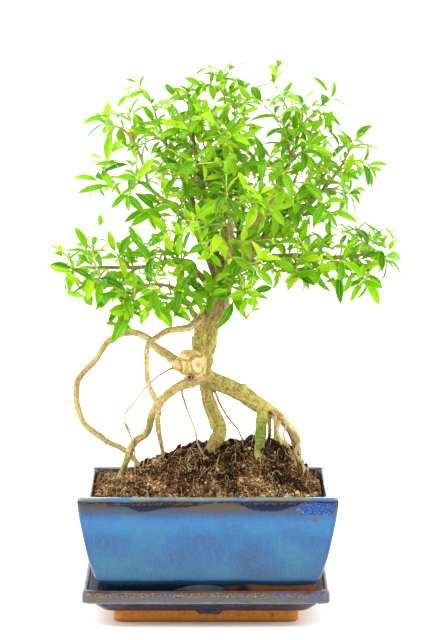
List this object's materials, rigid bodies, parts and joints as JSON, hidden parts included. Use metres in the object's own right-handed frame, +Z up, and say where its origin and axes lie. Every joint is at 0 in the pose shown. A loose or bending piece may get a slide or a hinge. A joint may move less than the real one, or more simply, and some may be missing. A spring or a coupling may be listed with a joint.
{
  "type": "serissa bonsai",
  "caption": "Flowering evergreen bonsai: a bare trunk on arching exposed roots, a spreading leafy crown, a glazed rectangular pot of soil and a drip tray.",
  "frame": {"origin": "on the surface that the tray stands on, under the middle of the pot", "axes": "+Z up, +X to the viewer's right along the pot's long side, the viewer looking along +Y"},
  "size_m": [0.2828, 0.1878, 0.4342],
  "materials": {
    "tray_glaze": "dark slate-blue glaze with a rusty break line at the rim and a bare ochre foot",
    "pot_glaze": "streaky blue glaze with a pale lip, a dark break line and a bare clay foot",
    "soil": null,
    "bark": "olive-tan fissured bark, smoother and paler on the roots, with green algae",
    "leaf": "small glossy yellow-green leaves on slim green stems; wood stands in for their density"
  },
  "bodies": {
    "root": {"drip_tray": "tray_glaze", "pot": "pot_glaze", "soil": "soil", "trunk_branches_and_roots": "bark", "leafy_spray_01": "leaf", "leafy_spray_02": "leaf", "leafy_spray_03": "leaf", "leafy_spray_04": "leaf", "leafy_spray_05": "leaf", "leafy_spray_06": "leaf", "leafy_spray_07": "leaf", "leafy_spray_08": "leaf", "leafy_spray_09": "leaf", "leafy_spray_10": "leaf", "leafy_spray_11": "leaf", "leafy_spray_12": "leaf", "leafy_spray_13": "leaf", "leafy_spray_14": "leaf", "leafy_spray_15": "leaf", "leafy_spray_16": "leaf", "leafy_spray_17": "leaf", "leafy_spray_18": "leaf", "leafy_spray_19": "leaf", "leafy_spray_20": "leaf", "leafy_spray_21": "leaf", "leafy_spray_22": "leaf", "leafy_spray_23": "leaf", "leafy_spray_24": "leaf", "leafy_spray_25": "leaf", "leafy_spray_26": "leaf", "leafy_spray_27": "leaf", "leafy_spray_28": "leaf", "leafy_spray_29": "leaf", "leafy_spray_30": "leaf", "leafy_spray_31": "leaf", "leafy_spray_32": "leaf", "leafy_spray_33": "leaf", "leafy_spray_34": "leaf", "leafy_spray_35": "leaf", "leafy_spray_36": "leaf", "leafy_spray_37": "leaf", "leafy_spray_38": "leaf", "leafy_spray_39": "leaf", "leafy_spray_40": "leaf", "leafy_spray_41": "leaf", "leafy_spray_42": "leaf", "leafy_spray_43": "leaf", "leafy_spray_44": "leaf", "leafy_spray_45": "leaf", "leafy_spray_46": "leaf", "leafy_spray_47": "leaf", "leafy_spray_48": "leaf", "leafy_spray_49": "leaf", "leafy_spray_50": "leaf", "leafy_spray_51": "leaf", "leafy_spray_52": "leaf", "leafy_spray_53": "leaf", "leafy_spray_54": "leaf"}
  },
  "joints": []
}
